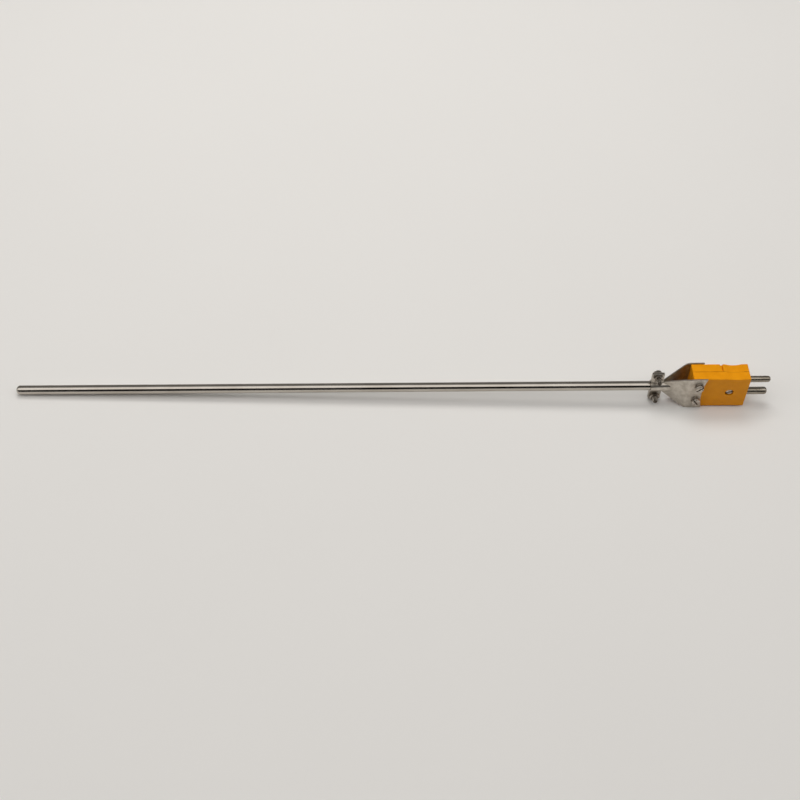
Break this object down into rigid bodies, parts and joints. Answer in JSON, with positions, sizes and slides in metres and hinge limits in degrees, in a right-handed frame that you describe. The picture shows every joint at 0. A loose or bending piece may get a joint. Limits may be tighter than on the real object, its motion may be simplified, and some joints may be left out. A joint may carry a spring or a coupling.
{
  "type": "thermocouple",
  "caption": "Straight metal-sheathed temperature probe held by a flared two-plate clamp bracket to a two-pin rectangular thermocouple plug.",
  "frame": {"origin": "on the sheath's axis at the mouth of the clamp, where the full-diameter immersed sheath ends", "axes": "+X along the probe from its tip to the plug's pins, +Z across the plug's width towards the positive pin, +Y through the plug's thickness away from the cover"},
  "size_m": [0.4738, 0.0199, 0.0264],
  "materials": {
    "sheath_steel": "bright drawn and polished stainless tube",
    "weld_steel": "welded and ground stainless",
    "magnesia": "compacted white powder",
    "wire_positive_alloy": "drawn nickel-chromium alloy",
    "wire_negative_alloy": "drawn nickel-aluminium alloy",
    "potting": "cast resin",
    "sleeving": "woven glass sleeving",
    "plug_body": "moulded yellow-orange plastic, satin",
    "pin_alloy": "turned nickel alloy",
    "terminal_brass": "machined brass",
    "fastener_steel": "bright steel",
    "bracket_steel": "satin stamped stainless sheet"
  },
  "bodies": {
    "probe_and_plug": {"assembly_insert": "terminal_brass", "bracket_front": "bracket_steel", "bracket_nut_lower": "fastener_steel", "bracket_nut_upper": "fastener_steel", "bracket_rear": "bracket_steel", "clamp_nut_lower": "fastener_steel", "clamp_nut_upper": "fastener_steel", "end_seal": "potting", "measuring_junction": "weld_steel", "mineral_insulation": "magnesia", "pin_negative": "pin_alloy", "pin_positive": "pin_alloy", "plug_base": "plug_body", "plug_cover": "plug_body", "sheath_tip_cap": "weld_steel", "sheath_tube": "sheath_steel", "sleeve_negative": "sleeving", "sleeve_positive": "sleeving", "terminal_screw_negative": "terminal_brass", "terminal_screw_positive": "terminal_brass", "terminal_washer_negative": "terminal_brass", "terminal_washer_positive": "terminal_brass", "wire_negative": "wire_negative_alloy", "wire_positive": "wire_positive_alloy"},
    "clamp_washer_upper": {"clamp_washer_upper": "fastener_steel"},
    "clamp_screw_upper": {"clamp_screw_upper": "fastener_steel"},
    "clamp_washer_lower": {"clamp_washer_lower": "fastener_steel"},
    "clamp_screw_lower": {"clamp_screw_lower": "fastener_steel"},
    "bracket_washer_upper": {"bracket_washer_upper": "fastener_steel"},
    "bracket_screw_upper": {"bracket_screw_upper": "fastener_steel"},
    "bracket_washer_lower": {"bracket_washer_lower": "fastener_steel"},
    "bracket_screw_lower": {"bracket_screw_lower": "fastener_steel"},
    "assembly_washer": {"assembly_washer": "fastener_steel"},
    "assembly_screw": {"assembly_screw": "fastener_steel"}
  },
  "joints": [
    {"name": "clamp_upper_screw_travel", "type": "slide", "parent": "probe_and_plug", "child": "clamp_washer_upper", "axis": [0, 1, 0], "range_m": [0, 0.0055]},
    {"name": "clamp_upper_screw_turn", "type": "hinge", "parent": "clamp_washer_upper", "child": "clamp_screw_upper", "pos_m": [0.0039, 0, 0.0085], "axis": [0, 1, 0], "range_deg": [0, 3960.01]},
    {"name": "clamp_lower_screw_travel", "type": "slide", "parent": "probe_and_plug", "child": "clamp_washer_lower", "axis": [0, 1, 0], "range_m": [0, 0.0055]},
    {"name": "clamp_lower_screw_turn", "type": "hinge", "parent": "clamp_washer_lower", "child": "clamp_screw_lower", "pos_m": [0.0039, 0, -0.0085], "axis": [0, 1, 0], "range_deg": [0, 3960.01]},
    {"name": "bracket_upper_screw_travel", "type": "slide", "parent": "probe_and_plug", "child": "bracket_washer_upper", "axis": [0, -1, 0], "range_m": [0, 0.00325]},
    {"name": "bracket_upper_screw_turn", "type": "hinge", "parent": "bracket_washer_upper", "child": "bracket_screw_upper", "pos_m": [0.0285, 0, 0.00635], "axis": [0, -1, 0], "range_deg": [0, 2340.01]},
    {"name": "bracket_lower_screw_travel", "type": "slide", "parent": "probe_and_plug", "child": "bracket_washer_lower", "axis": [0, -1, 0], "range_m": [0, 0.00325]},
    {"name": "bracket_lower_screw_turn", "type": "hinge", "parent": "bracket_washer_lower", "child": "bracket_screw_lower", "pos_m": [0.0285, 0, -0.00635], "axis": [0, -1, 0], "range_deg": [0, 2340.01]},
    {"name": "assembly_screw_travel", "type": "slide", "parent": "probe_and_plug", "child": "assembly_washer", "axis": [0, -1, 0], "range_m": [0, 0.0035]},
    {"name": "assembly_screw_turn", "type": "hinge", "parent": "assembly_washer", "child": "assembly_screw", "pos_m": [0.0485, 0, 0], "axis": [0, -1, 0], "range_deg": [0, 2520.01]}
  ],
  "couplings": [
    {"joint": "clamp_upper_screw_turn", "follows": "clamp_upper_screw_travel", "rad_per_m": 12566},
    {"joint": "clamp_lower_screw_turn", "follows": "clamp_lower_screw_travel", "rad_per_m": 12566},
    {"joint": "bracket_upper_screw_turn", "follows": "bracket_upper_screw_travel", "rad_per_m": 12566},
    {"joint": "bracket_lower_screw_turn", "follows": "bracket_lower_screw_travel", "rad_per_m": 12566},
    {"joint": "assembly_screw_turn", "follows": "assembly_screw_travel", "rad_per_m": 12566}
  ]
}
